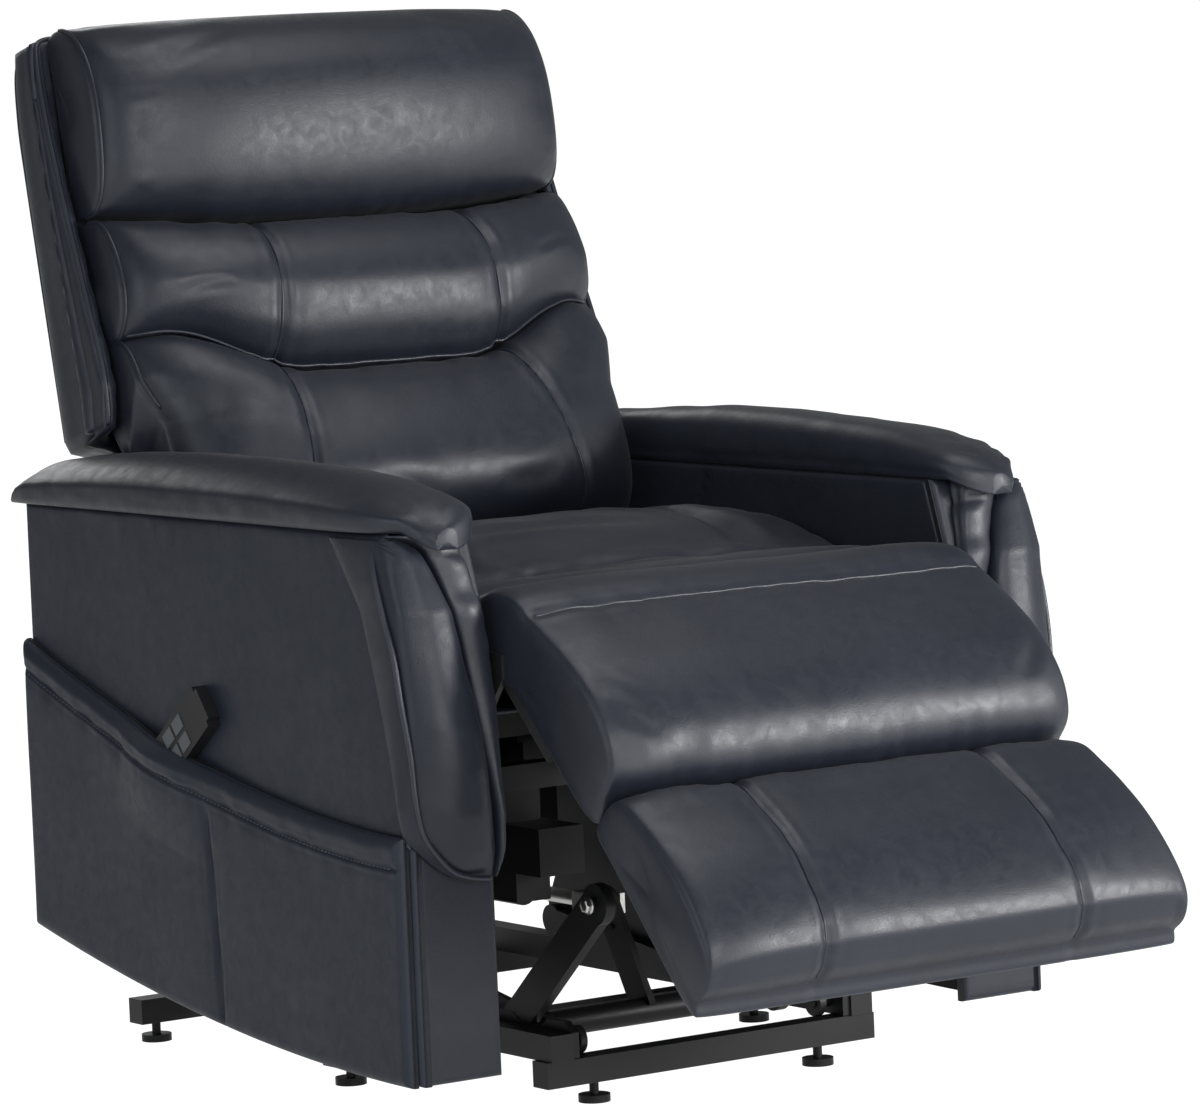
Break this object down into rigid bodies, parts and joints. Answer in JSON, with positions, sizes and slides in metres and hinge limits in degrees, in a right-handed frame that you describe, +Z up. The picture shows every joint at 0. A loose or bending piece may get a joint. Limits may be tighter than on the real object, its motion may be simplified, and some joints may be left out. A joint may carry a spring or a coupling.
{
  "type": "lift recliner chair",
  "caption": "Power lift recliner chair with padded back, swinging leg rest, tilting lift base and a pocketed hand control.",
  "frame": {"origin": "centre of the standing chair's footprint box on the floor", "axes": "+Z up, the sitter faces -Y, +X to the sitter's left"},
  "size_m": [0.84, 1.2742, 1.1474],
  "materials": {
    "navy_leather": "satin grained upholstery leather",
    "black_steel": "black powder coat",
    "bright_steel": "zinc plated",
    "board": "bare plywood and board",
    "black_plastic": "fine matte texture",
    "grey_key": "soft matte"
  },
  "bodies": {
    "base": {"base_rail_left": "black_steel", "base_rail_right": "black_steel", "base_front_tube": "black_steel", "base_middle_tube": "black_steel", "base_rear_tube": "black_steel", "leveling_glides": "black_plastic", "pivot_brackets": "black_steel", "lift_drive_motor": "black_plastic"},
    "lift_rod": {"lift_drive_rod": "bright_steel"},
    "lift_arm": {"lift_arms": "black_steel"},
    "front_link": {"front_links": "black_steel"},
    "chassis": {"chassis_rail_left": "black_steel", "chassis_rail_right": "black_steel", "chassis_front_tube": "black_steel", "chassis_rear_tube": "black_steel", "hanger_plates": "black_steel", "leg_hinge_plates": "black_steel", "back_hinge_plates": "black_steel", "seat_board_left": "board", "seat_board_right": "board", "seat_front_board": "board", "seat_rear_board": "board", "seat_springs": "bright_steel", "seat_cushion": "navy_leather", "leg_drive_motor": "black_plastic", "back_drive_motor": "black_plastic", "side_panel_left": "navy_leather", "side_panel_right": "navy_leather", "side_pocket": "navy_leather", "inner_panel_left": "navy_leather", "inner_panel_right": "navy_leather", "front_panel_left": "navy_leather", "front_panel_right": "navy_leather", "rear_panel_left": "navy_leather", "rear_panel_right": "navy_leather", "arm_top_left": "board", "arm_top_right": "board", "arm_pad_left": "navy_leather", "arm_pad_right": "navy_leather", "arm_bumper_left": "navy_leather", "arm_bumper_right": "navy_leather", "arm_strip_left": "navy_leather", "arm_strip_right": "navy_leather", "rear_valance": "navy_leather", "power_inlet": "black_plastic"},
    "leg_rod": {"leg_drive_rod": "bright_steel"},
    "back_rod": {"back_drive_rod": "bright_steel"},
    "back": {"back_frame": "board", "back_shell": "navy_leather", "head_cushion": "navy_leather", "middle_cushion": "navy_leather", "lower_cushion": "navy_leather"},
    "leg_rest": {"leg_board": "board", "leg_bolster": "navy_leather", "leg_pad": "navy_leather"},
    "hand_control": {"handset_body": "black_plastic"},
    "key_lift": {"button_lift": "grey_key"},
    "key_lower": {"button_lower": "grey_key"},
    "key_recline": {"button_recline": "grey_key"},
    "key_upright": {"button_upright": "grey_key"}
  },
  "joints": [
    {"name": "lift", "type": "hinge", "parent": "base", "child": "lift_arm", "pos_m": [0, -0.07834, 0.065], "axis": [1, 0, 0], "range_deg": [0, 60]},
    {"name": "chassis_tilt", "type": "hinge", "parent": "lift_arm", "child": "chassis", "pos_m": [0, 0.28666, 0.112], "axis": [1, 0, 0], "range_deg": [-38.5, 0]},
    {"name": "front_link_swing", "type": "hinge", "parent": "base", "child": "front_link", "pos_m": [0, -0.17534, 0.065], "axis": [1, 0, 0], "range_deg": [0, 67]},
    {"name": "lift_rod_slide", "type": "slide", "parent": "base", "child": "lift_rod", "axis": [0, -1, 0], "range_m": [0, 0.128]},
    {"name": "leg_rest_swing", "type": "hinge", "parent": "chassis", "child": "leg_rest", "pos_m": [0, -0.26704, 0.4804], "axis": [-1, 0, 0], "range_deg": [-32, 44]},
    {"name": "leg_rod_slide", "type": "slide", "parent": "chassis", "child": "leg_rod", "axis": [0, -1, 0], "range_m": [-0.079, 0.109]},
    {"name": "back_recline", "type": "hinge", "parent": "chassis", "child": "back", "pos_m": [0, 0.36666, 0.33], "axis": [-1, 0, 0], "range_deg": [0, 40]},
    {"name": "back_rod_slide", "type": "slide", "parent": "chassis", "child": "back_rod", "axis": [0, -1, 0], "range_m": [0, 0.066]},
    {"name": "hand_control_lift", "type": "slide", "parent": "chassis", "child": "hand_control", "axis": [0, -0.788, 0.6157], "range_m": [0, 0.15]},
    {"name": "press_lift", "type": "slide", "parent": "hand_control", "child": "key_lift", "axis": [1, 0, 0], "range_m": [0, 0.0012], "stiffness_N_per_m": 400, "springref_m": -0.0005},
    {"name": "press_lower", "type": "slide", "parent": "hand_control", "child": "key_lower", "axis": [1, 0, 0], "range_m": [0, 0.0012], "stiffness_N_per_m": 400, "springref_m": -0.0005},
    {"name": "press_recline", "type": "slide", "parent": "hand_control", "child": "key_recline", "axis": [1, 0, 0], "range_m": [0, 0.0012], "stiffness_N_per_m": 400, "springref_m": -0.0005},
    {"name": "press_upright", "type": "slide", "parent": "hand_control", "child": "key_upright", "axis": [1, 0, 0], "range_m": [0, 0.0012], "stiffness_N_per_m": 400, "springref_m": -0.0005}
  ],
  "couplings": [
    {"joint": "chassis_tilt", "follows": "lift", "ratio": -0.63333},
    {"joint": "front_link_swing", "follows": "lift", "ratio": 1.11},
    {"joint": "lift_rod_slide", "follows": "lift", "m_per_rad": 0.12129},
    {"joint": "leg_rod_slide", "follows": "leg_rest_swing", "m_per_rad": 0.14022},
    {"joint": "back_rod_slide", "follows": "back_recline", "m_per_rad": 0.093843}
  ]
}
